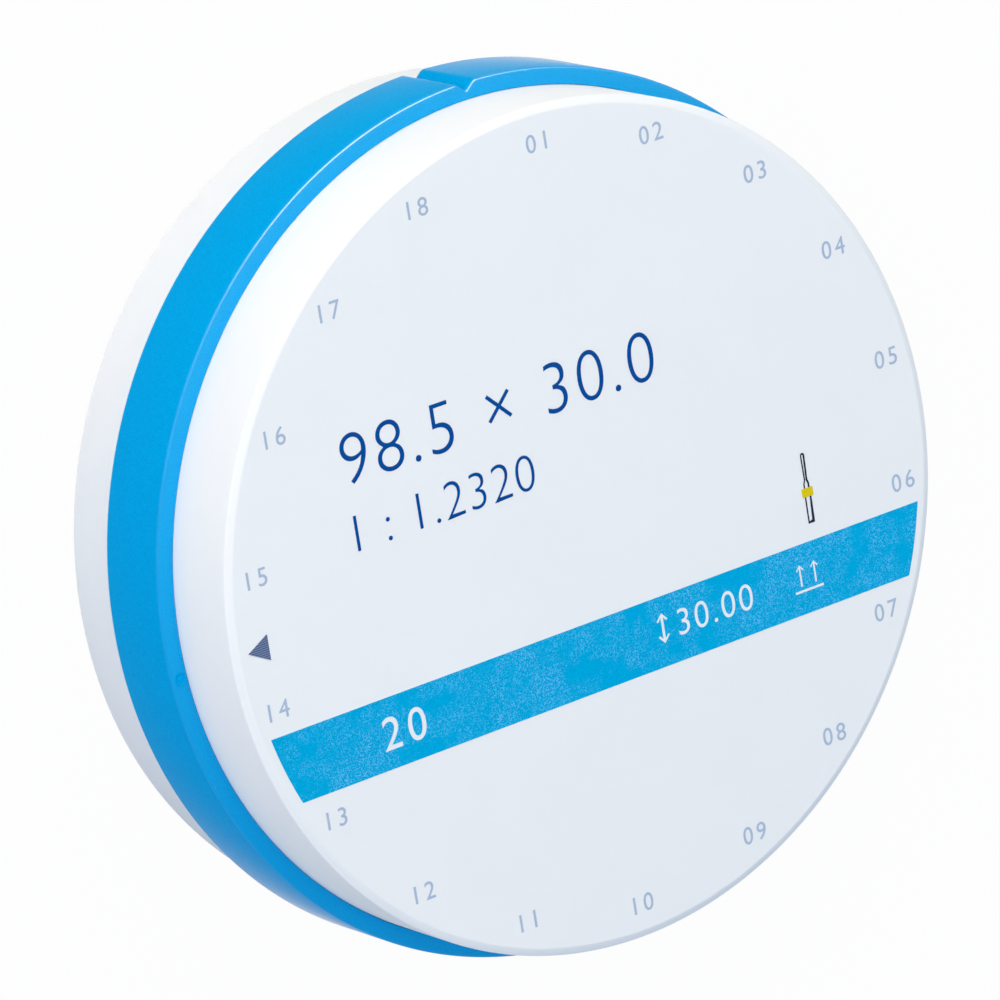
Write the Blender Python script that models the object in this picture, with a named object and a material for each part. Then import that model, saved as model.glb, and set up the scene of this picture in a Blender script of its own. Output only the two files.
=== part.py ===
# Dental milling disc: a round pressed zirconia blank, the moulded holder ring bonded round
# the middle of its wall, and the fields of ink printed on its top face.
# Lengths are in metres. The disc lies on its underside at Z = 0 and its print faces +Z.
# The printed band runs along +X, and the ring's locating notch faces +Y.

import math

import bmesh
import bpy

# Steps round a full turn, and round one corner
TURN_STEPS = 144
CORNER_STEPS = 4
SHARP_ANGLE = math.radians(25)

# Holder ring, which sits at the middle of the blank's height and sets the blank's diameter
RING_DIAMETER = 0.0985
RING_HEIGHT = 0.010
RING_WALL = 0.00185
RING_EDGE_ROUND = 0.0004
BOND_GAP = 0.0002
BORE_OVERRUN = 0.002

# Pressed blank, with the same broken edge above and below
BLANK_HEIGHT = 0.030
RIM_BREAK_INWARD = 0.0009
RIM_BREAK_DOWN = 0.0004

# Locating notch, a V that runs through the ring's full height
NOTCH_DIRECTION = math.radians(90.2)
NOTCH_DEPTH = 0.0011
NOTCH_FLANK = math.radians(50)
NOTCH_ROOT_ROUND = 0.00025
NOTCH_SHOULDER_LAND = 0.0002

# Ink on the top face
INK_THICKNESS = 0.00006
BAND_WIDTH = 0.00795
BAND_BELOW_CENTRE = 0.01422
BAND_MARGIN = 0.0010

# Triangle that points out at the rim
ARROW_MARGIN = 0.00105
ARROW_LENGTH = 0.00265
ARROW_WIDTH = 0.0029
ARROW_BELOW_CENTRE = 0.0003

# Symbol of a milling tool, drawn in outline with a collar, standing above the band
SYMBOL_ACROSS = 0.0295
SYMBOL_ABOVE_BAND = 0.00195
SYMBOL_LINE = 0.00018
SHANK_CLEAR_WIDTH = 0.00064
SHANK_LENGTH = 0.00305
COLLAR_OVERHANG = 0.00025
COLLAR_LENGTH = 0.0010
NECK_LENGTH = 0.00085
TIP_CLEAR_WIDTH = 0.00034
TIP_LENGTH = 0.0032

RING_RADIUS = RING_DIAMETER / 2
BORE_RADIUS = RING_RADIUS - RING_WALL
BLANK_RADIUS = BORE_RADIUS - BOND_GAP
FACE_RADIUS = BLANK_RADIUS - RIM_BREAK_INWARD
RING_BASE = (BLANK_HEIGHT - RING_HEIGHT) / 2
NOTCH_SHOULDER_ROUND = RING_EDGE_ROUND + NOTCH_SHOULDER_LAND


def linear(value):
    return value / 12.92 if value <= 0.04045 else ((value + 0.055) / 1.055) ** 2.4


def make_material(name, red, green, blue, roughness):
    """Principled material from a colour of three sRGB values of 0 to 255."""
    material = bpy.data.materials.new(name)
    material.use_nodes = True
    shader = material.node_tree.nodes["Principled BSDF"]
    colour = [linear(value / 255) for value in (red, green, blue)]
    shader.inputs["Base Color"].default_value = (*colour, 1)
    shader.inputs["Roughness"].default_value = roughness
    shader.inputs["Metallic"].default_value = 0
    material.diffuse_color = (*colour, 1)
    return material


def make_object(name, bm, material):
    bmesh.ops.recalc_face_normals(bm, faces=bm.faces)
    mesh = bpy.data.meshes.new(name)
    bm.to_mesh(mesh)
    bm.free()
    mesh.shade_smooth()
    mesh.set_sharp_from_angle(angle=SHARP_ANGLE)
    mesh.materials.append(material)
    piece = bpy.data.objects.new(name, mesh)
    bpy.context.scene.collection.objects.link(piece)
    return piece


def arc(centre, radius, start, end, steps):
    """Points on an arc between two angles, both ends included."""
    angles = [start + (end - start) * step / steps for step in range(steps + 1)]
    return [(centre[0] + radius * math.cos(a), centre[1] + radius * math.sin(a)) for a in angles]


def add_loop(bm, points, height):
    """A closed loop of edges through flat points, at one height."""
    verts = [bm.verts.new((x, y, height)) for x, y in points]
    return [bm.edges.new((verts[i - 1], verts[i])) for i in range(len(verts))]


def circle_points(radius):
    return arc((0, 0), radius, 0, 2 * math.pi, TURN_STEPS)[:-1]


def build_blank():
    bm = bmesh.new()
    section = (
        (FACE_RADIUS, 0),
        (BLANK_RADIUS, RIM_BREAK_DOWN),
        (BLANK_RADIUS, BLANK_HEIGHT - RIM_BREAK_DOWN),
        (FACE_RADIUS, BLANK_HEIGHT),
    )
    loops = [add_loop(bm, circle_points(radius), height) for radius, height in section]
    for lower, upper in zip(loops, loops[1:]):
        bmesh.ops.bridge_loops(bm, edges=lower + upper)
    for rim in (loops[0], loops[-1]):
        bmesh.ops.contextual_create(bm, geom=rim)
    make_object("zirconia_blank", bm, make_material("pressed_zirconia", 234, 238, 243, 0.7))


def flat_face(bm, points, height):
    face = bm.faces.new([bm.verts.new((x, y, height)) for x, y in points])
    face.normal_update()
    return face


def thicken(bm, thickness):
    """Raises flat faces into a solid of one thickness."""
    grown = bmesh.ops.extrude_face_region(bm, geom=bm.faces)
    verts = [item for item in grown["geom"] if isinstance(item, bmesh.types.BMVert)]
    bmesh.ops.translate(bm, vec=(0, 0, thickness), verts=verts)


def ring_outline():
    """The ring's outer edge with its notch: a rounded root, two flanks and two shoulders."""
    root_centre = RING_RADIUS - NOTCH_DEPTH + NOTCH_ROOT_ROUND
    # The shoulder's centre lies one shoulder radius off the flank and off the outer circle
    reach = NOTCH_ROOT_ROUND + NOTCH_SHOULDER_ROUND
    across = reach * math.cos(NOTCH_FLANK)
    along = root_centre - reach * math.sin(NOTCH_FLANK)
    half = across * math.sin(NOTCH_FLANK) + along * math.cos(NOTCH_FLANK)
    rest = across**2 + along**2 - (RING_RADIUS - NOTCH_SHOULDER_ROUND) ** 2
    climb = math.sqrt(half**2 - rest) - half
    across += climb * math.sin(NOTCH_FLANK)
    along += climb * math.cos(NOTCH_FLANK)
    shoulder_turn = math.atan2(along, across)

    root = arc((0, root_centre), NOTCH_ROOT_ROUND, -math.pi / 2, -NOTCH_FLANK, CORNER_STEPS)
    flank_side = math.pi - NOTCH_FLANK
    shoulder = arc(
        (across, along), NOTCH_SHOULDER_ROUND, flank_side, shoulder_turn, CORNER_STEPS
    )
    side = root + shoulder
    mirrored = [(-x, y) for x, y in reversed(side[1:])]
    rim_start = 2 * math.pi + shoulder_turn
    rim = arc((0, 0), RING_RADIUS, rim_start, math.pi - shoulder_turn, TURN_STEPS)[1:-1]
    turn = NOTCH_DIRECTION - math.pi / 2
    return [
        (x * math.cos(turn) - y * math.sin(turn), x * math.sin(turn) + y * math.cos(turn))
        for x, y in mirrored + side + rim
    ]


def build_ring():
    bm = bmesh.new()
    flat_face(bm, ring_outline(), RING_BASE)
    thicken(bm, RING_HEIGHT)
    rims = [edge for edge in bm.edges if edge.verts[0].co.z == edge.verts[1].co.z]
    bmesh.ops.bevel(
        bm,
        geom=rims,
        offset=RING_EDGE_ROUND,
        affect="EDGES",
        segments=CORNER_STEPS,
        profile=0.5,
        material=-1,
    )
    ring = make_object("holder_ring", bm, make_material("moulded_ring_blue", 0, 150, 224, 0.42))
    bm = bmesh.new()
    flat_face(bm, circle_points(BORE_RADIUS), RING_BASE - BORE_OVERRUN)
    thicken(bm, RING_HEIGHT + 2 * BORE_OVERRUN)
    cutter = make_object("ring_bore_cutter", bm, ring.active_material)
    cutter.hide_render = True
    cutter.display_type = "WIRE"
    bore = ring.modifiers.new("bore", "BOOLEAN")
    bore.operation = "DIFFERENCE"
    bore.solver = "EXACT"
    bore.object = cutter


def lay_ink(name, bm, material):
    thicken(bm, INK_THICKNESS)
    make_object(name, bm, material)


def cut_away(bm, height, direction):
    """Removes what lies past a line across the face, on the side that direction points to."""
    bmesh.ops.bisect_plane(
        bm,
        geom=bm.verts[:] + bm.edges[:] + bm.faces[:],
        plane_co=(0, height, 0),
        plane_no=(0, direction, 0),
        clear_outer=True,
    )


def build_band():
    bm = bmesh.new()
    flat_face(bm, circle_points(FACE_RADIUS - BAND_MARGIN), BLANK_HEIGHT)
    cut_away(bm, BAND_WIDTH / 2 - BAND_BELOW_CENTRE, 1)
    cut_away(bm, -BAND_WIDTH / 2 - BAND_BELOW_CENTRE, -1)
    lay_ink("print_band", bm, make_material("band_ink", 22, 168, 222, 0.5))


def build_arrow():
    bm = bmesh.new()
    tip = ARROW_MARGIN - FACE_RADIUS
    base = tip + ARROW_LENGTH
    middle = -ARROW_BELOW_CENTRE
    corners = [(tip, middle), (base, middle - ARROW_WIDTH / 2), (base, middle + ARROW_WIDTH / 2)]
    flat_face(bm, corners, BLANK_HEIGHT)
    lay_ink("print_arrow", bm, make_material("arrow_ink", 78, 98, 134, 0.55))


def build_symbol():
    foot = BAND_WIDTH / 2 - BAND_BELOW_CENTRE + SYMBOL_ABOVE_BAND
    collar_base = foot + SHANK_LENGTH
    collar_top = collar_base + COLLAR_LENGTH
    neck_top = collar_top + NECK_LENGTH
    shank = SHANK_CLEAR_WIDTH / 2 + SYMBOL_LINE
    tip = TIP_CLEAR_WIDTH / 2 + SYMBOL_LINE
    nose = arc((0, neck_top + TIP_LENGTH - tip), tip, 0, math.pi, 2 * CORNER_STEPS)
    outline = [(-shank, foot), (shank, foot), (shank, collar_top), (tip, neck_top)]
    outline += nose + [(-tip, neck_top), (-shank, collar_top)]
    line_ink = make_material("outline_ink", 52, 70, 92, 0.55)
    parts = (
        ("print_tool_shank", collar_base, 1),
        ("print_tool_tip", collar_top, -1),
    )
    for name, cut, direction in parts:
        bm = bmesh.new()
        inner = flat_face(bm, [(SYMBOL_ACROSS + x, y) for x, y in outline], BLANK_HEIGHT)
        bmesh.ops.inset_region(
            bm, faces=[inner], thickness=SYMBOL_LINE, use_even_offset=True, use_boundary=True
        )
        bmesh.ops.delete(bm, geom=[inner], context="FACES")
        cut_away(bm, cut, direction)
        lay_ink(name, bm, line_ink)
    bm = bmesh.new()
    left = SYMBOL_ACROSS - shank - COLLAR_OVERHANG
    right = SYMBOL_ACROSS + shank + COLLAR_OVERHANG
    corners = [(left, collar_base), (right, collar_base), (right, collar_top), (left, collar_top)]
    flat_face(bm, corners, BLANK_HEIGHT)
    lay_ink("print_tool_collar", bm, make_material("collar_ink", 217, 195, 30, 0.5))


def main():
    for item in list(bpy.data.objects):
        bpy.data.objects.remove(item, do_unlink=True)
    build_blank()
    build_ring()
    build_band()
    build_arrow()
    build_symbol()


main()
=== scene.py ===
import math

import bmesh
import bpy
from mathutils import Matrix, Vector


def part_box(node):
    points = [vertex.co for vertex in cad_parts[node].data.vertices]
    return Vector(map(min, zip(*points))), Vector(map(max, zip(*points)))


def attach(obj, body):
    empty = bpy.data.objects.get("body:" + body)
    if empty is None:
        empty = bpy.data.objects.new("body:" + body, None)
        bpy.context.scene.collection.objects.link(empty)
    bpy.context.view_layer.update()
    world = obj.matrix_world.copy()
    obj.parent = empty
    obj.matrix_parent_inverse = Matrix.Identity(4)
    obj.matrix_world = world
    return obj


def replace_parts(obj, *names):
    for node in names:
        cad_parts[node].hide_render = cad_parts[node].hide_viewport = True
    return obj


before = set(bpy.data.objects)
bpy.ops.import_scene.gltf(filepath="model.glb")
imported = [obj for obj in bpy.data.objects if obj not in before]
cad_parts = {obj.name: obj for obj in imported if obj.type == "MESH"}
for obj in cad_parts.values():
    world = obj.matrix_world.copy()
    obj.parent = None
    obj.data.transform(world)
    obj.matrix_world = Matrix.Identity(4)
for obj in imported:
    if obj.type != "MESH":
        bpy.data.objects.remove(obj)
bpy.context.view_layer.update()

mm = 0.001
print("frame loaded:", ", ".join(sorted(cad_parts)))


def linearColour(hexText):
    parts = [int(hexText[i:i + 2], 16) / 255 for i in (0, 2, 4)]
    return tuple(p / 12.92 if p <= 0.04045 else ((p + 0.055) / 1.055) ** 2.4 for p in parts) + (1,)


def addNode(material, kind, settings=None, links=None):
    # lower-case names are the node's own settings, all others are its sockets
    node = material.node_tree.nodes.new(kind)
    for key, value in (settings or {}).items():
        if isinstance(key, str) and key.islower():
            setattr(node, key, value)
        else:
            node.inputs[key].default_value = value
    for key, socket in (links or {}).items():
        material.node_tree.links.new(socket, node.inputs[key])
    return node


def newMaterial(name):
    material = bpy.data.materials.new(name)
    material.use_nodes = True
    material.node_tree.nodes.clear()
    return material, addNode(material, "ShaderNodeTexCoord").outputs["Object"]


# Finishes. In a colour Mix node sockets 6 and 7 are the two colours and output 2 is the result.

def pressedZirconia():
    # zirconia powder pressed and half fired: chalky and matt, a cool white that light enters a little
    material, place = newMaterial("pressedZirconiaChalk")
    clouds = addNode(material, "ShaderNodeTexNoise", {"Scale": 1 / (11 * mm), "Detail": 3}, {"Vector": place})
    white = addNode(material, "ShaderNodeMix", {
        "data_type": "RGBA", 6: linearColour("E8ECF1"), 7: linearColour("ECEFF4"),
    }, {0: clouds.outputs["Fac"]})
    # the powder's grain is 0.05 mm: drawn six times as coarse, so that it shows
    grain = addNode(material, "ShaderNodeTexNoise", {"Scale": 1 / (0.3 * mm), "Detail": 2}, {"Vector": place})
    relief = addNode(material, "ShaderNodeBump", {"Distance": 0.004 * mm}, {"Height": grain.outputs["Fac"]})
    shader = addNode(material, "ShaderNodeBsdfPrincipled", {
        "Roughness": 0.6, "Specular IOR Level": 0.03,
        "Subsurface Weight": 0.1, "Subsurface Radius": (1.0, 1.0, 1.1), "Subsurface Scale": 0.6 * mm,
    }, {"Base Color": white.outputs[2], "Normal": relief.outputs["Normal"]})
    addNode(material, "ShaderNodeOutputMaterial", {}, {"Surface": shader.outputs["BSDF"]})
    return material


def mouldedBlue(name, grainDepth):
    # polypropylene coloured through, moulded against spark-eroded steel: satin with a very fine grain
    material, place = newMaterial(name)
    # the spark marks are about 0.05 mm wide: drawn three times as coarse, so that they show
    grain = addNode(material, "ShaderNodeTexNoise", {"Scale": 1 / (0.16 * mm), "Detail": 2}, {"Vector": place})
    tone = addNode(material, "ShaderNodeMapRange", {"From Min": 0.3, "From Max": 0.7},
                   {"Value": grain.outputs["Fac"]})
    blue = addNode(material, "ShaderNodeMix", {
        "data_type": "RGBA", 6: linearColour("0093D4"), 7: linearColour("00A6E6"),
    }, {0: tone.outputs["Result"]})
    gloss = addNode(material, "ShaderNodeMapRange", {"To Min": 0.4, "To Max": 0.5},
                    {"Value": grain.outputs["Fac"]})
    relief = addNode(material, "ShaderNodeBump", {"Distance": grainDepth * mm},
                     {"Height": grain.outputs["Fac"]})
    shader = addNode(material, "ShaderNodeBsdfPrincipled", {}, {
        "Base Color": blue.outputs[2], "Roughness": gloss.outputs["Result"],
        "Normal": relief.outputs["Normal"],
    })
    addNode(material, "ShaderNodeOutputMaterial", {}, {"Surface": shader.outputs["BSDF"]})
    return material, shader


def erodedPlastic():
    # the wall's deeper grain breaks the gloss up: what is left is a pale bloom, seen along the surface
    material, shader = mouldedBlue("mouldedPolypropyleneBlue", 0.012)
    shader.inputs["Specular IOR Level"].default_value = 0.0
    shader.inputs["Sheen Weight"].default_value = 0.8
    shader.inputs["Sheen Roughness"].default_value = 0.23
    return material


def plateFinishPlastic():
    # the flat faces come off the mould's plates, which are smoother: a weak even gloss
    material, shader = mouldedBlue("plateFinishPolypropyleneBlue", 0.008)
    shader.inputs["Specular IOR Level"].default_value = 0.1
    return material


def polishedEdge():
    # the same plastic on the rounded edges, rubbed by handling: it catches the light, with a few pale scuffs
    material, place = newMaterial("polishedPolypropyleneEdge")
    scuffs = addNode(material, "ShaderNodeTexNoise", {"Scale": 1 / (1.2 * mm), "Detail": 4}, {"Vector": place})
    wear = addNode(material, "ShaderNodeMapRange", {"From Min": 0.66, "From Max": 0.76},
                   {"Value": scuffs.outputs["Fac"]})
    blue = addNode(material, "ShaderNodeMix", {
        "data_type": "RGBA", 6: linearColour("0099DC"), 7: linearColour("2CACE6"),
    }, {0: wear.outputs["Result"]})
    gloss = addNode(material, "ShaderNodeMapRange", {"To Min": 0.34, "To Max": 0.42},
                    {"Value": scuffs.outputs["Fac"]})
    shader = addNode(material, "ShaderNodeBsdfPrincipled", {"Specular IOR Level": 0.15},
                     {"Base Color": blue.outputs[2], "Roughness": gloss.outputs["Result"]})
    addNode(material, "ShaderNodeOutputMaterial", {}, {"Surface": shader.outputs["BSDF"]})
    return material


def rolledInk():
    # blue ink rolled on the porous face: it covers unevenly, and the white shows through in fine specks
    material, place = newMaterial("rolledBlueInk")
    patches = addNode(material, "ShaderNodeTexNoise", {"Scale": 1 / (4 * mm), "Detail": 6, "Roughness": 0.62},
                      {"Vector": place})
    thin = addNode(material, "ShaderNodeMapRange", {"From Min": 0.4, "From Max": 0.69},
                   {"Value": patches.outputs["Fac"]})
    specks = addNode(material, "ShaderNodeTexNoise", {"Scale": 1 / (0.17 * mm), "Detail": 3, "Roughness": 0.6},
                     {"Vector": place})
    bare = addNode(material, "ShaderNodeMapRange", {"From Min": 0.5, "From Max": 0.6},
                   {"Value": specks.outputs["Fac"]})
    share = addNode(material, "ShaderNodeMath", {"operation": "MULTIPLY"},
                    {0: thin.outputs["Result"], 1: bare.outputs["Result"]})
    depth = addNode(material, "ShaderNodeMapRange", {"From Min": 0.35, "From Max": 0.62},
                    {"Value": specks.outputs["Fac"]})
    full = addNode(material, "ShaderNodeMix", {
        "data_type": "RGBA", 6: linearColour("009ED2"), 7: linearColour("00ACE4"),
    }, {0: depth.outputs["Result"]})
    blue = addNode(material, "ShaderNodeMix", {"data_type": "RGBA", 7: linearColour("6CB9F0")},
                   {0: share.outputs["Value"], 6: full.outputs[2]})
    relief = addNode(material, "ShaderNodeBump", {"Distance": 0.004 * mm}, {"Height": specks.outputs["Fac"]})
    shader = addNode(material, "ShaderNodeBsdfPrincipled", {"Roughness": 0.55, "Specular IOR Level": 0.0},
                     {"Base Color": blue.outputs[2], "Normal": relief.outputs["Normal"]})
    addNode(material, "ShaderNodeOutputMaterial", {}, {"Surface": shader.outputs["BSDF"]})
    return material


def stampedInk(name, full, thin):
    # thin stamped ink: it sinks in, and is paler where the powder's grain stands up
    material, place = newMaterial(name)
    specks = addNode(material, "ShaderNodeTexNoise", {"Scale": 1 / (0.25 * mm), "Detail": 2}, {"Vector": place})
    colour = addNode(material, "ShaderNodeMix", {
        "data_type": "RGBA", 6: linearColour(full), 7: linearColour(thin),
    }, {0: specks.outputs["Fac"]})
    relief = addNode(material, "ShaderNodeBump", {"Distance": 0.003 * mm}, {"Height": specks.outputs["Fac"]})
    shader = addNode(material, "ShaderNodeBsdfPrincipled", {"Roughness": 0.6, "Specular IOR Level": 0.01},
                     {"Base Color": colour.outputs[2], "Normal": relief.outputs["Normal"]})
    addNode(material, "ShaderNodeOutputMaterial", {}, {"Surface": shader.outputs["BSDF"]})
    return material


def hatchedInk():
    # the triangle is filled with fine strokes along the band's direction, 0.24 mm apart
    material, place = newMaterial("hatchedSlateInk")
    strokes = addNode(material, "ShaderNodeTexWave", {
        "wave_type": "BANDS", "bands_direction": "Y", "Scale": math.pi / (10 * 0.24 * mm),
        "Distortion": 1.5, "Detail": 2, "Detail Scale": 1.5,
    }, {"Vector": place})
    colour = addNode(material, "ShaderNodeMix", {
        "data_type": "RGBA", 6: linearColour("3B4A70"), 7: linearColour("7688AE"),
    }, {0: strokes.outputs["Fac"]})
    shader = addNode(material, "ShaderNodeBsdfPrincipled", {"Roughness": 0.6, "Specular IOR Level": 0.03},
                     {"Base Color": colour.outputs[2]})
    addNode(material, "ShaderNodeOutputMaterial", {}, {"Surface": shader.outputs["BSDF"]})
    return material


zirconia = pressedZirconia()
ringPlastic = erodedPlastic()
facePlastic = plateFinishPlastic()
edgePlastic = polishedEdge()
bandInk = rolledInk()
rimInk = stampedInk("paleIndexInk", "9DB1CF", "B1C1DA")
numberInk = stampedInk("deepBlueInk", "00448F", "004E9B")
outlineInk = stampedInk("outlineInk", "0F1E38", "24364F")
collarInk = stampedInk("collarYellowInk", "D6BE10", "DEC91E")
triangleInk = hatchedInk()
print("finishes ready")


# Shared shaping steps

def newPiece(name, bm, materials, smoothAngle=0):
    mesh = bpy.data.meshes.new(name)
    bm.to_mesh(mesh)
    bm.free()
    mesh.shade_flat()
    if smoothAngle:
        mesh.shade_smooth()
        mesh.set_sharp_from_angle(angle=math.radians(smoothAngle))
    for material in materials:
        mesh.materials.append(material)
    piece = bpy.data.objects.new(name, mesh)
    bpy.context.scene.collection.objects.link(piece)
    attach(piece, "root")
    return piece


def closeSeams(bm):
    bmesh.ops.remove_doubles(bm, verts=bm.verts, dist=0.0001 * mm)
    bmesh.ops.recalc_face_normals(bm, faces=bm.faces)


def newVerts(result):
    return [item for item in result["geom"] if isinstance(item, bmesh.types.BMVert)]


def roundOff(bm, geom, radius, segments, kind="EDGES"):
    bmesh.ops.bevel(bm, geom=geom, offset=radius, offset_type="OFFSET", segments=segments,
                    profile=0.5, affect=kind, material=-1)


def turnSection(bm, section, steps, corners=(), cornerRound=0.0, roundSteps=3):
    # a section of (distance, height) points, some of them rounded, turned about the upright axis
    points = [bm.verts.new((x, 0, z)) for x, z in section]
    for first, second in zip(points, points[1:]):
        bm.edges.new((first, second))
    if corners:
        roundOff(bm, [points[index] for index in corners], cornerRound, roundSteps, "VERTICES")
    bmesh.ops.spin(bm, geom=bm.verts[:] + bm.edges[:], cent=(0, 0, 0), axis=(0, 0, 1),
                   angle=2 * math.pi, steps=steps, use_merge=True)
    closeSeams(bm)


def thicken(bm, thickness):
    # raises flat faces into solids of one thickness
    grown = bmesh.ops.extrude_face_region(bm, geom=bm.faces[:])
    bmesh.ops.translate(bm, vec=(0, 0, thickness), verts=newVerts(grown))
    closeSeams(bm)


def flatShape(bm, outline, place, height):
    points = [bm.verts.new((place[0] + x, place[1] + y, height)) for x, y in outline]
    face = bm.faces.new(points)
    face.normal_update()
    return face


# The blank, turned from its section

blankSizes = {
    "breakIn": 0.9, "breakDown": 0.4,  # the broken edge, above and below
    "cornerRound": 0.12, "roundSteps": 3, "turnSteps": 360,
}


def makeBlank():
    lowest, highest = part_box("zirconia_blank")
    radius, height = highest[0], highest[2]
    faceRadius = radius - blankSizes["breakIn"] * mm
    down = blankSizes["breakDown"] * mm
    bm = bmesh.new()
    section = (
        (0, 0), (faceRadius, 0), (radius, down),
        (radius, height - down), (faceRadius, height), (0, height),
    )
    turnSection(bm, section, blankSizes["turnSteps"], (1, 2, 3, 4),
                blankSizes["cornerRound"] * mm, blankSizes["roundSteps"])
    piece = newPiece("blankBody", bm, [zirconia], 60)
    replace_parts(piece, "zirconia_blank")
    return radius, height


blankRadius, faceHeight = makeBlank()
print("blank done")


# The holder ring with its locating notch

ringSizes = {
    "notchDirection": 90.2, "notchDepth": 1.02, "notchFlank": 50,  # degrees, mm to the sharp root, degrees
    "rootRound": 0.25, "shoulderRound": 0.3,  # where the rounding starts, from the sharp corner
    "edgeRound": 0.3, "boreRound": 0.08, "bondLine": 0.05,
    "rimSteps": 360, "roundSteps": 5, "boreSteps": 3,
    "levelWithin": 0.001, "nearBore": 0.1,  # how level and how near to the bore an edge is, in mm
    "wallSlant": 0.1, "faceSlant": 0.99,  # the upright share of a normal: less on the wall, more on a flat face
}


def notchOutline(bm, radius, height):
    # a circle of points with the V let into it, then its root and shoulders rounded
    flank = math.radians(ringSizes["notchFlank"])
    root = radius - ringSizes["notchDepth"] * mm
    reach = -root * math.cos(flank) + math.sqrt(radius ** 2 - (root * math.sin(flank)) ** 2)
    shoulder = math.atan2(reach * math.sin(flank), root + reach * math.cos(flank))
    steps = ringSizes["rimSteps"]
    start = math.radians(ringSizes["notchDirection"])
    turns = [start + shoulder + (2 * math.pi - 2 * shoulder) * step / steps for step in range(steps + 1)]
    places = [(root * math.cos(start), root * math.sin(start))]
    places += [(radius * math.cos(turn), radius * math.sin(turn)) for turn in turns]
    points = [bm.verts.new((x, y, height)) for x, y in places]
    for first, second in zip(points, points[1:] + points[:1]):
        bm.edges.new((first, second))
    rootPoint, shoulders = points[0], [points[1], points[-1]]
    roundOff(bm, shoulders, ringSizes["shoulderRound"] * mm, ringSizes["roundSteps"], "VERTICES")
    roundOff(bm, [rootPoint], ringSizes["rootRound"] * mm, ringSizes["roundSteps"], "VERTICES")


def growRim(bm, rim, height, bore=None):
    # one more loop of edges at a height, drawn in to the bore where one is given
    fresh = set(newVerts(bmesh.ops.extrude_edge_only(bm, edges=rim)))
    for vert in fresh:
        vert.co.z = height
        if bore:
            vert.co.xy = vert.co.xy.normalized() * bore
    return [edge for edge in bm.edges if edge.verts[0] in fresh and edge.verts[1] in fresh]


def makeRing():
    lowest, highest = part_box("holder_ring")
    radius, base, top = -lowest[0], lowest[2], highest[2]
    bore = blankRadius + ringSizes["bondLine"] * mm
    bm = bmesh.new()
    notchOutline(bm, radius, base)
    # up the outside, in over the top and down the bore; then in below, where the two loops merge
    foot = bm.edges[:]
    rim = growRim(bm, foot, top)
    rim = growRim(bm, rim, top, bore)
    growRim(bm, rim, base, bore)
    growRim(bm, foot, base, bore)
    closeSeams(bm)
    within, nearBore = ringSizes["levelWithin"] * mm, bore + ringSizes["nearBore"] * mm
    level = [edge for edge in bm.edges if abs(edge.verts[0].co.z - edge.verts[1].co.z) < within]
    outer = [edge for edge in level if min(vert.co.xy.length for vert in edge.verts) > nearBore]
    inner = [edge for edge in level if max(vert.co.xy.length for vert in edge.verts) < nearBore]
    roundOff(bm, outer, ringSizes["edgeRound"] * mm, ringSizes["roundSteps"])
    roundOff(bm, inner, ringSizes["boreRound"] * mm, ringSizes["boreSteps"])
    bmesh.ops.recalc_face_normals(bm, faces=bm.faces)
    bm.normal_update()
    for face in bm.faces:
        # the wall faces sideways and the flat faces up or down: the rounded edges lie between
        passed = [abs(face.normal.z) >= ringSizes[limit] for limit in ("wallSlant", "faceSlant")]
        face.material_index = sum(passed)
    piece = newPiece("ringBody", bm, [ringPlastic, edgePlastic, facePlastic], 35)
    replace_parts(piece, "holder_ring")
    return top


ringTop = makeRing()
print("ring done")


# The low round mark that the mould's gate left on the ring's upper face

gateSizes = {
    "direction": 184.7, "distance": 48.17,  # degrees, mm from the axis
    "beadRadius": 0.68, "beadWidth": 0.24, "beadHeight": 0.12,
    "nubRadius": 0.24, "nubTopRadius": 0.144, "nubHeight": 0.11,
    "dishHeight": 0.004, "sunk": 0.02,  # between nub and bead, and below the ring's face
    "cornerRound": 0.03, "roundSteps": 2, "turnSteps": 48,
}


def makeGateMark():
    sizes = {name: value * mm for name, value in gateSizes.items()}
    bead, half = sizes["beadRadius"], sizes["beadWidth"] / 2
    section = (
        (0, sizes["nubHeight"]), (sizes["nubTopRadius"], sizes["nubHeight"]),
        (sizes["nubRadius"], sizes["dishHeight"]), (bead - half, sizes["dishHeight"]),
        (bead, sizes["beadHeight"]), (bead + half, -sizes["sunk"]), (0, -sizes["sunk"]),
    )
    bm = bmesh.new()
    turnSection(bm, section, gateSizes["turnSteps"], (1, 2, 3, 4),
                sizes["cornerRound"], gateSizes["roundSteps"])
    turn = math.radians(gateSizes["direction"])
    place = (sizes["distance"] * math.cos(turn), sizes["distance"] * math.sin(turn), ringTop)
    bmesh.ops.translate(bm, vec=place, verts=bm.verts)
    newPiece("ringGateMark", bm, [ringPlastic], 60)


makeGateMark()
print("mould mark done")


# Ink films on the top face: numbers, band and symbols

inkSizes = {
    "film": 0.03, "sunk": 0.005,
    "digitShare": 0.691,  # height of a digit of the built-in lettering at size 1
    "curveSteps": 8,
}

numberLines = {
    # name: text, digit height, left end, baseline, slimming of the strokes, letter spacing
    "upperLine": ("98.5 × 30.0", 5.85, -29.9, 13.6, 0.017, 1.09),
    "lowerLine": ("1 : 1.2320", 4.2, -29.6, 6.3, 0.018, 1.04),
}

rimNumbers = {
    "distance": 43.3,  # mm from the middle to each number's middle
    # degrees, clockwise from the notch: the stamp's numbers aren't spaced quite evenly
    "directions": (88.7, 68.4, 48.3, 29.2, 9.3, -9.8, -29.2, -49.2, -68.9, -90.7, -111.4, -130.9,
                   -150.7, -170.2, -189.8, -209.8, -229.2, -249.3),
    "height": 2.0, "slimming": 0, "spacing": 1.3,
}


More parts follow.
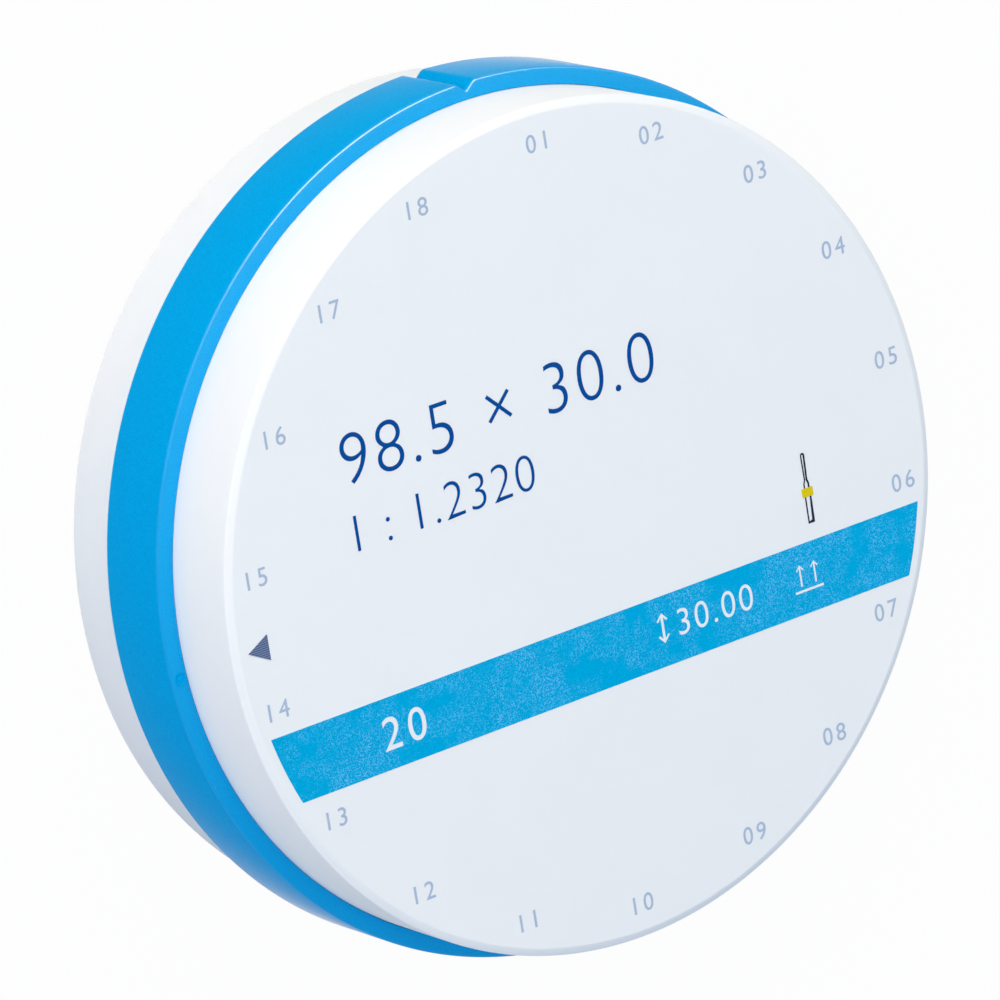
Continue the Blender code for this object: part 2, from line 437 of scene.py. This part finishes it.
def layNumbers(bm, text, height, slimming, spacing, left=None, baseline=None, middle=None):
    # the built-in lettering is made a flat mesh at size 1, and then scaled to the height and put in place
    words = bpy.data.curves.new("numbers", "FONT")
    words.body = text
    words.offset = -slimming
    words.space_character = spacing
    words.resolution_u = inkSizes["curveSteps"]
    holder = bpy.data.objects.new("numbers", words)
    flat = bpy.data.meshes.new_from_object(holder)
    scale = height * mm / inkSizes["digitShare"]
    across = [vert.co.x for vert in flat.vertices]
    along = [vert.co.y for vert in flat.vertices]
    if middle is None:
        anchor = (min(across), 0)
        place = (left * mm, baseline * mm, 0)
    else:
        anchor = ((min(across) + max(across)) / 2, (min(along) + max(along)) / 2)
        place = (middle[0] * mm, middle[1] * mm, 0)
    move = Matrix.Translation((-anchor[0], -anchor[1], 0))
    flat.transform(Matrix.Translation(place) @ Matrix.Scale(scale, 4) @ move)
    bm.from_mesh(flat)
    bpy.data.objects.remove(holder)
    bpy.data.curves.remove(words)
    bpy.data.meshes.remove(flat)


def layFilm(name, bm, material):
    closeSeams(bm)
    bmesh.ops.translate(bm, vec=(0, 0, faceHeight - inkSizes["sunk"] * mm), verts=bm.verts)
    thicken(bm, (inkSizes["film"] + inkSizes["sunk"]) * mm)
    return newPiece(name, bm, [material])


def makeNumbers():
    for name, (text, height, left, baseline, slimming, spacing) in numberLines.items():
        bm = bmesh.new()
        layNumbers(bm, text, height, slimming, spacing, left=left, baseline=baseline)
        layFilm(name, bm, numberInk)
    bm = bmesh.new()
    for number, direction in enumerate(rimNumbers["directions"], start=1):
        turn = math.radians(direction)
        middle = (rimNumbers["distance"] * math.cos(turn), rimNumbers["distance"] * math.sin(turn))
        layNumbers(bm, f"{number:02d}", rimNumbers["height"], rimNumbers["slimming"],
                   rimNumbers["spacing"], middle=middle)
    layFilm("rimNumbers", bm, rimInk)


makeNumbers()
print("numbers done")


bandSizes = {
    "endRadius": 45.42, "turnSteps": 360,
    "leftNumber": ("20", 3.65, -30.3, -16.05, -0.004, 1.26),
    "rightNumber": ("30.00", 3.0, 9.7, -15.35, 0.002, 1.14),
    "heightArrow": (7.65, -13.85), "upArrows": ((26.9, -13.75), (28.9, -13.75)), "upArrowScale": 0.72,
    "upLine": (27.9, -15.55, 4.0, 0.3),
    "arrowStem": 0.18, "arrowHalf": 1.75, "headOut": (0.78, 0.9), "headIn": (0.56, 0.74), "headJoin": 1.18,
    "stencilSunk": 0.2, "stencilHeight": 0.4,
}


def arrowOutline(heads):
    # right half from the top down, then the left half back up
    stem, half, join = bandSizes["arrowStem"], bandSizes["arrowHalf"], bandSizes["headJoin"]
    upper = [(0, half), bandSizes["headOut"], bandSizes["headIn"], (stem, join)]
    lower = [(x, -y) for x, y in reversed(upper)] if heads == 2 else [(stem, -half)]
    right = upper + lower
    left = [(-x, y) for x, y in reversed(right) if x > 0]
    return [(x * mm, y * mm) for x, y in right + left]


def makeBand():
    lowest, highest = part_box("print_band")
    bm = bmesh.new()
    bmesh.ops.create_circle(bm, cap_ends=True, radius=bandSizes["endRadius"] * mm,
                            segments=bandSizes["turnSteps"])
    for edge, outwards in ((lowest[1], -1), (highest[1], 1)):
        bmesh.ops.bisect_plane(bm, geom=bm.verts[:] + bm.edges[:] + bm.faces[:], plane_co=(0, edge, 0),
                               plane_no=(0, outwards, 0), clear_outer=True)
    band = layFilm("inkBand", bm, bandInk)
    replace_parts(band, "print_band")
    # numbers and symbols are left out of the ink, so that the bare blank shows
    bm = bmesh.new()
    for text, height, left, baseline, slimming, spacing in (bandSizes["leftNumber"], bandSizes["rightNumber"]):
        layNumbers(bm, text, height, slimming, spacing, left=left, baseline=baseline)
    flatShape(bm, arrowOutline(2), [value * mm for value in bandSizes["heightArrow"]], 0)
    small = bandSizes["upArrowScale"]
    for place in bandSizes["upArrows"]:
        outline = [(x * small, y * small) for x, y in arrowOutline(1)]
        flatShape(bm, outline, [value * mm for value in place], 0)
    x, y, width, weight = [value * mm for value in bandSizes["upLine"]]
    line = (
        (-width / 2, -weight / 2), (width / 2, -weight / 2),
        (width / 2, weight / 2), (-width / 2, weight / 2),
    )
    flatShape(bm, line, (x, y), 0)
    closeSeams(bm)
    bmesh.ops.translate(bm, vec=(0, 0, faceHeight - bandSizes["stencilSunk"] * mm), verts=bm.verts)
    thicken(bm, bandSizes["stencilHeight"] * mm)
    stencilMesh = bpy.data.meshes.new("stencil")
    bm.to_mesh(stencilMesh)
    bm.free()
    stencil = bpy.data.objects.new("stencil", stencilMesh)
    bpy.context.scene.collection.objects.link(stencil)
    cut = band.modifiers.new("stencil", "BOOLEAN")
    cut.operation = "DIFFERENCE"
    cut.solver = "EXACT"
    cut.object = stencil
    result = bpy.data.meshes.new_from_object(band.evaluated_get(bpy.context.evaluated_depsgraph_get()))
    result.shade_flat()
    band.modifiers.remove(cut)
    band.data = result
    bpy.data.objects.remove(stencil)
    bpy.data.meshes.remove(stencilMesh)


makeBand()
print("band done")


# The symbol of a milling tool, drawn in outline, and its collar

symbolSizes = {
    "tip": 0.29, "waist": 0.24, "neck": 0.4, "shank": 0.45,  # half widths to the outside of the line
    "waistHeight": 0.95, "neckHeight": 0.5,  # above the collar
    "noseFall": 2.2, "noseSteps": 8,  # where the tip starts to widen, in half widths below the top
    "line": 0.2, "shade": 0.03, "wedge": (-0.104, 0.156),
}


def makeSymbol():
    shankLow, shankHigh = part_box("print_tool_shank")
    tipLow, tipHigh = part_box("print_tool_tip")
    middle = (shankLow[0] + shankHigh[0]) / 2
    foot, collarBase, collarTop, top = shankLow[1], shankHigh[1], tipLow[1], tipHigh[1]
    tip, waist, neck, shank = [symbolSizes[part] * mm for part in ("tip", "waist", "neck", "shank")]
    neckTop, waistTop = [collarTop + symbolSizes[part] * mm for part in ("neckHeight", "waistHeight")]
    rise = [(shank, foot), (shank, collarBase), (neck, collarTop), (neck, neckTop),
            (waist, waistTop), (tip, top - symbolSizes["noseFall"] * tip)]
    steps = symbolSizes["noseSteps"]
    turns = [math.pi / 2 * step / steps for step in range(1, steps + 1)]
    rise += [(tip * math.cos(turn), top - tip + tip * math.sin(turn)) for turn in turns]
    outline = rise + [(-x, y) for x, y in reversed(rise[:-1])]
    for name, node, cut, outwards in (("toolShank", "print_tool_shank", collarBase, 1),
                                      ("toolTip", "print_tool_tip", collarTop, -1)):
        bm = bmesh.new()
        inside = flatShape(bm, outline, (middle, 0), 0)
        bmesh.ops.inset_region(bm, faces=[inside], thickness=symbolSizes["line"] * mm, use_even_offset=True,
                               use_boundary=True)
        # the line is drawn heavier on the right, with a wedge in the foot's right corner
        bmesh.ops.translate(bm, vec=(-symbolSizes["shade"] * mm, 0, 0), verts=inside.verts)
        corner = max(inside.verts, key=lambda vert: vert.co.x - vert.co.y)
        corner.co.xy += Vector(symbolSizes["wedge"]) * mm
        bmesh.ops.delete(bm, geom=[inside], context="FACES")
        bmesh.ops.bisect_plane(bm, geom=bm.verts[:] + bm.edges[:] + bm.faces[:], plane_co=(0, cut, 0),
                               plane_no=(0, outwards, 0), clear_outer=True)
        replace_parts(layFilm(name, bm, outlineInk), node)


makeSymbol()
print("symbol done")

nodeFinishes = {"print_arrow": triangleInk, "print_tool_collar": collarInk}
for nodeName, finish in nodeFinishes.items():
    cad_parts[nodeName].data.materials.clear()
    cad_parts[nodeName].data.materials.append(finish)


# Floor, lights and camera

def aimed(eye, forward, up):
    back = -Vector(forward).normalized()
    right = Vector(up).cross(back).normalized()
    matrix = Matrix((right, back.cross(right), back)).transposed().to_4x4()
    matrix.translation = eye
    return matrix


viewSizes = {
    # worked out from the photograph: its rolled camera looks down on the lying disc
    "eye": (-0.47684, 0.25644, 0.73601),
    "forward": (0.528334, -0.283347, -0.800361),
    "up": (0.285864, 0.946997, -0.146555),
    "lens": 295.81, "sensor": 36, "clipStart": 0.01,
}


def makeCamera():
    camera = bpy.data.objects.new("photoCamera", bpy.data.cameras.new("photoCamera"))
    camera.data.lens = viewSizes["lens"]
    camera.data.sensor_width = viewSizes["sensor"]
    camera.data.clip_start = viewSizes["clipStart"]
    camera.matrix_world = aimed(viewSizes["eye"], viewSizes["forward"], viewSizes["up"])
    bpy.context.scene.collection.objects.link(camera)
    bpy.context.scene.camera = camera


lightSizes = {
    # name: azimuth and elevation in degrees, distance, width and height in metres,
    # level on a face turned to it, colour, and whether matt surfaces are lit by it too
    "longKey": (90, 32, 3.0, 2.6, 0.4, 0.49, "FFECC8", True),
    "softKey": (150, 32, 3.0, 2.2, 2.2, 0.49, "FFF3E8", True),
    "edgeStrip": (76, 45, 3.0, 2.6, 0.25, 13.0, "FFFFFF", False),
}


def makeLights():
    middle = Vector((0, 0, faceHeight / 2))
    for name, (azimuth, elevation, distance, width, height, level, tint, onMatt) in lightSizes.items():
        lamp = bpy.data.lights.new(name, "AREA")
        lamp.shape = "RECTANGLE"
        lamp.size = width
        lamp.size_y = height
        lamp.energy = level * math.pi ** 2 * distance ** 2
        lamp.color = linearColour(tint)[:3]
        around, above = math.radians(azimuth), math.radians(elevation)
        flat = math.cos(above)
        away = Vector((math.cos(around) * flat, math.sin(around) * flat, math.sin(above)))
        light = bpy.data.objects.new(name, lamp)
        light.matrix_world = aimed(middle + away * distance, -away, (0, 0, 1))
        light.visible_diffuse = onMatt
        bpy.context.scene.collection.objects.link(light)


def whiteWhereSeen(material, seen):
    # camera, mirrored and refracted rays see plain white, the rest of the light sees the surface
    path = addNode(material, "ShaderNodeLightPath")
    direct = addNode(material, "ShaderNodeMath", {"operation": "ADD", "use_clamp": True},
                     {0: path.outputs["Is Camera Ray"], 1: path.outputs["Is Glossy Ray"]})
    rays = addNode(material, "ShaderNodeMath", {"operation": "ADD", "use_clamp": True},
                   {0: direct.outputs["Value"], 1: path.outputs["Is Transmission Ray"]})
    share = addNode(material, "ShaderNodeMath", {"operation": "MULTIPLY", 1: seen}, {0: rays.outputs["Value"]})
    return share.outputs["Value"]


worldSizes = {"skyLevel": 0.71, "skyColour": "D9EAFC"}


def makeWorld():
    world = bpy.data.worlds.new("paleStudio")
    world.use_nodes = True
    world.node_tree.nodes.clear()
    sky = addNode(world, "ShaderNodeBackground", {
        "Color": linearColour(worldSizes["skyColour"]), "Strength": worldSizes["skyLevel"]})
    white = addNode(world, "ShaderNodeBackground", {"Color": (1, 1, 1, 1), "Strength": 1})
    mix = addNode(world, "ShaderNodeMixShader", {}, {
        0: whiteWhereSeen(world, 1), 1: sky.outputs["Background"], 2: white.outputs["Background"]})
    addNode(world, "ShaderNodeOutputWorld", {}, {"Surface": mix.outputs["Shader"]})
    bpy.context.scene.world = world


floorSizes = {"width": 6.0, "whiteShare": 0.97, "gap": 0.02 * mm}  # the gap is left under the disc


def makeFloor():
    # a pale matt floor: the camera sees it near white, with the disc's shadow kept
    material, place = newMaterial("paleFloor")
    shader = addNode(material, "ShaderNodeBsdfPrincipled", {
        "Base Color": linearColour("C8CCD0"), "Roughness": 0.9, "Specular IOR Level": 0})
    glow = addNode(material, "ShaderNodeEmission", {"Color": (1, 1, 1, 1), "Strength": 1})
    mix = addNode(material, "ShaderNodeMixShader", {}, {
        0: whiteWhereSeen(material, floorSizes["whiteShare"]),
        1: shader.outputs["BSDF"], 2: glow.outputs["Emission"]})
    addNode(material, "ShaderNodeOutputMaterial", {}, {"Surface": mix.outputs["Shader"]})
    bm = bmesh.new()
    bmesh.ops.create_grid(bm, x_segments=1, y_segments=1, size=floorSizes["width"] / 2)
    bmesh.ops.translate(bm, vec=(0, 0, -floorSizes["gap"]), verts=bm.verts)
    mesh = bpy.data.meshes.new("floor")
    bm.to_mesh(mesh)
    bm.free()
    mesh.materials.append(material)
    floor = bpy.data.objects.new("floor", mesh)
    bpy.context.scene.collection.objects.link(floor)


makeCamera()
makeLights()
makeWorld()
makeFloor()
bpy.context.scene.view_settings.view_transform = "Standard"
print("floor, lights and camera ready")
